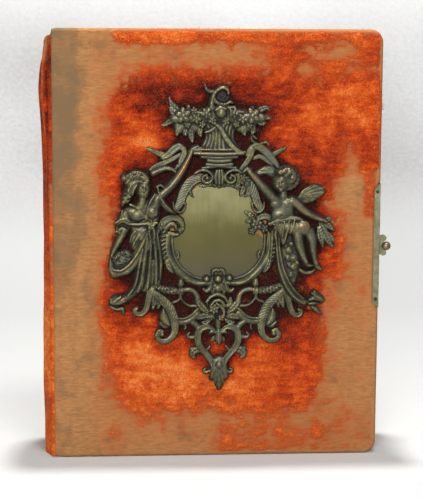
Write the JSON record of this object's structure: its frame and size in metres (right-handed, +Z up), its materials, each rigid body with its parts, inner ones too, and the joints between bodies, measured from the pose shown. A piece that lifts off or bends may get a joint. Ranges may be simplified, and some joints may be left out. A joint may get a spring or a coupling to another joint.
{
  "type": "photograph album",
  "caption": "Upright photograph album in worn orange plush, with a cast openwork mount around a bare plaque, hinged covers, fanning card leaves and a hinged fore-edge clasp.",
  "frame": {"origin": "on the ground under the middle of the album's box, clasp knob, spine and relief included", "axes": "+Z up along the height of the covers, +X from the spine to the fore-edge, -Y out of the front cover"},
  "size_m": [0.2312, 0.0703, 0.285],
  "materials": {
    "plush": "worn velvet plush",
    "board": "millboard",
    "pastedown_paper": "aged lining paper",
    "mount_bronze": "dark bronzed casting, rubbed on the high points",
    "plaque_metal": "dulled silvered brass",
    "clasp_nickel": "worn nickel plate",
    "knob_brass": "rubbed nickel over brass",
    "pin_metal": "plain wire",
    "mull_cloth": "open-weave lining",
    "linen": "plain linen",
    "band_silk": "wound silk",
    "flyleaf_paper": "aged paper",
    "leaf_card": "aged mount card with gilt edges"
  },
  "bodies": {
    "spine": {"spine_card": "board", "spine_plush": "plush", "front_joint_cloth": "plush", "back_joint_cloth": "plush", "mull": "mull_cloth", "linen_guards": "linen", "head_band": "band_silk", "tail_band": "band_silk"},
    "front_cover": {"front_board": "board", "front_plush": "plush", "front_pastedown": "pastedown_paper", "mount_frame": "mount_bronze", "lady_figure": "mount_bronze", "putto_figure": "mount_bronze", "flower_urn": "mount_bronze", "plaque": "plaque_metal", "mount_pins": "pin_metal", "front_clasp_plate": "clasp_nickel", "front_clasp_nails": "clasp_nickel"},
    "back_cover": {"back_board": "board", "back_plush": "plush", "back_pastedown": "pastedown_paper", "back_clasp_plate": "clasp_nickel", "back_clasp_nails": "clasp_nickel", "clasp_hinge_pin": "pin_metal"},
    "strap": {"clasp_strap": "clasp_nickel", "clasp_knob": "knob_brass"},
    "front_fly": {"front_flyleaf": "flyleaf_paper"},
    "turn_leaf_01": {"leaf_01": "leaf_card"},
    "turn_leaf_02": {"leaf_02": "leaf_card"},
    "turn_leaf_03": {"leaf_03": "leaf_card"},
    "turn_leaf_04": {"leaf_04": "leaf_card"},
    "turn_leaf_05": {"leaf_05": "leaf_card"},
    "turn_leaf_06": {"leaf_06": "leaf_card"},
    "turn_leaf_07": {"leaf_07": "leaf_card"},
    "turn_leaf_08": {"leaf_08": "leaf_card"},
    "turn_leaf_09": {"leaf_09": "leaf_card"},
    "turn_leaf_10": {"leaf_10": "leaf_card"},
    "turn_leaf_11": {"leaf_11": "leaf_card"},
    "turn_leaf_12": {"leaf_12": "leaf_card"},
    "rear_fly": {"rear_flyleaf": "flyleaf_paper"}
  },
  "joints": [
    {"name": "front_cover_hinge", "type": "hinge", "parent": "spine", "child": "front_cover", "pos_m": [-0.1093, -0.02145, 0.1425], "axis": [0, 0, -1], "range_deg": [0, 180]},
    {"name": "back_cover_hinge", "type": "hinge", "parent": "spine", "child": "back_cover", "pos_m": [-0.1093, 0.03305, 0.1425], "axis": [0, 0, 1], "range_deg": [0, 180]},
    {"name": "clasp_hinge", "type": "hinge", "parent": "back_cover", "child": "strap", "pos_m": [0.1106, 0.03055, 0.1425], "axis": [0, 0, 1], "range_deg": [0, 120]},
    {"name": "front_flyleaf_hinge", "type": "hinge", "parent": "spine", "child": "front_fly", "pos_m": [-0.0996, -0.0144, 0.1425], "axis": [0, 0, -1], "range_deg": [0, 110]},
    {"name": "leaf_01_hinge", "type": "hinge", "parent": "spine", "child": "turn_leaf_01", "pos_m": [-0.0996, -0.01235, 0.1425], "axis": [0, 0, -1], "range_deg": [0, 66]},
    {"name": "leaf_02_hinge", "type": "hinge", "parent": "spine", "child": "turn_leaf_02", "pos_m": [-0.0996, -0.00905, 0.1425], "axis": [0, 0, -1], "range_deg": [0, 60]},
    {"name": "leaf_03_hinge", "type": "hinge", "parent": "spine", "child": "turn_leaf_03", "pos_m": [-0.0996, -0.00575, 0.1425], "axis": [0, 0, -1], "range_deg": [0, 54]},
    {"name": "leaf_04_hinge", "type": "hinge", "parent": "spine", "child": "turn_leaf_04", "pos_m": [-0.0996, -0.00245, 0.1425], "axis": [0, 0, -1], "range_deg": [0, 48]},
    {"name": "leaf_05_hinge", "type": "hinge", "parent": "spine", "child": "turn_leaf_05", "pos_m": [-0.0996, 0.00085, 0.1425], "axis": [0, 0, -1], "range_deg": [0, 43]},
    {"name": "leaf_06_hinge", "type": "hinge", "parent": "spine", "child": "turn_leaf_06", "pos_m": [-0.0996, 0.00415, 0.1425], "axis": [0, 0, -1], "range_deg": [0, 38]},
    {"name": "leaf_07_hinge", "type": "hinge", "parent": "spine", "child": "turn_leaf_07", "pos_m": [-0.0996, 0.00745, 0.1425], "axis": [0, 0, -1], "range_deg": [0, 33]},
    {"name": "leaf_08_hinge", "type": "hinge", "parent": "spine", "child": "turn_leaf_08", "pos_m": [-0.0996, 0.01075, 0.1425], "axis": [0, 0, -1], "range_deg": [0, 28]},
    {"name": "leaf_09_hinge", "type": "hinge", "parent": "spine", "child": "turn_leaf_09", "pos_m": [-0.0996, 0.01405, 0.1425], "axis": [0, 0, -1], "range_deg": [0, 23]},
    {"name": "leaf_10_hinge", "type": "hinge", "parent": "spine", "child": "turn_leaf_10", "pos_m": [-0.0996, 0.01735, 0.1425], "axis": [0, 0, -1], "range_deg": [0, 18]},
    {"name": "leaf_11_hinge", "type": "hinge", "parent": "spine", "child": "turn_leaf_11", "pos_m": [-0.0996, 0.02065, 0.1425], "axis": [0, 0, -1], "range_deg": [0, 13]},
    {"name": "leaf_12_hinge", "type": "hinge", "parent": "spine", "child": "turn_leaf_12", "pos_m": [-0.0996, 0.02395, 0.1425], "axis": [0, 0, -1], "range_deg": [0, 8]},
    {"name": "rear_flyleaf_hinge", "type": "hinge", "parent": "spine", "child": "rear_fly", "pos_m": [-0.0996, 0.026, 0.1425], "axis": [0, 0, -1], "range_deg": [0, 4]}
  ],
  "couplings": [
    {"joint": "front_flyleaf_hinge", "follows": "front_cover_hinge", "ratio": 0.61111},
    {"joint": "leaf_01_hinge", "follows": "front_cover_hinge", "ratio": 0.36667},
    {"joint": "leaf_02_hinge", "follows": "front_cover_hinge", "ratio": 0.33333},
    {"joint": "leaf_03_hinge", "follows": "front_cover_hinge", "ratio": 0.3},
    {"joint": "leaf_04_hinge", "follows": "front_cover_hinge", "ratio": 0.26667},
    {"joint": "leaf_05_hinge", "follows": "front_cover_hinge", "ratio": 0.23889},
    {"joint": "leaf_06_hinge", "follows": "front_cover_hinge", "ratio": 0.21111},
    {"joint": "leaf_07_hinge", "follows": "front_cover_hinge", "ratio": 0.18333},
    {"joint": "leaf_08_hinge", "follows": "front_cover_hinge", "ratio": 0.15556},
    {"joint": "leaf_09_hinge", "follows": "front_cover_hinge", "ratio": 0.12778},
    {"joint": "leaf_10_hinge", "follows": "front_cover_hinge", "ratio": 0.1},
    {"joint": "leaf_11_hinge", "follows": "front_cover_hinge", "ratio": 0.072222},
    {"joint": "leaf_12_hinge", "follows": "front_cover_hinge", "ratio": 0.044444},
    {"joint": "rear_flyleaf_hinge", "follows": "front_cover_hinge", "ratio": 0.022222}
  ]
}
